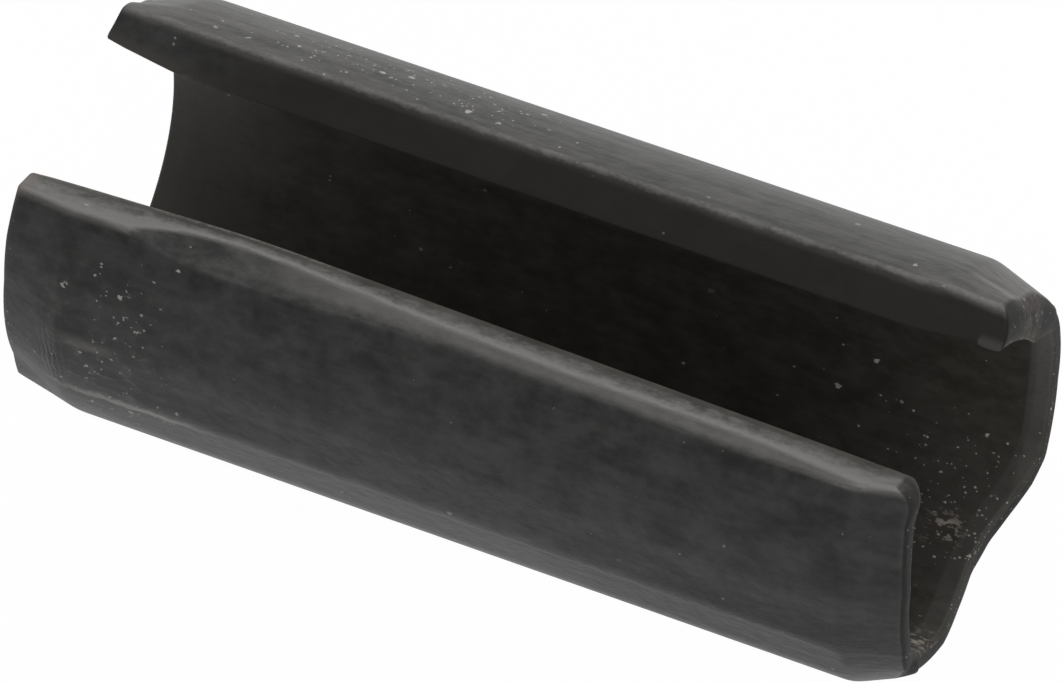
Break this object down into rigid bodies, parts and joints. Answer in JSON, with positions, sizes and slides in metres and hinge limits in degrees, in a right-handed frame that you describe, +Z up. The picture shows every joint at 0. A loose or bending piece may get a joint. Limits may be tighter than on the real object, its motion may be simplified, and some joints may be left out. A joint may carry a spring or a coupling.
{
  "type": "slotted spring pin",
  "caption": "Slotted spring pin of black spring steel with pointed ends, driven into a drilled hole to hold parts together.",
  "frame": {"origin": "under the middle of the pin, on the surface it lies on", "axes": "+X along the pin towards the torn end, +Z up through the slot"},
  "size_m": [0.0122, 0.0054, 0.005],
  "materials": {
    "black_spring_steel": "hardened spring steel with a dull black oxide, lightly oiled, paler where edges are rubbed"
  },
  "bodies": {
    "root": {"spring_pin": "black_spring_steel"}
  },
  "joints": []
}
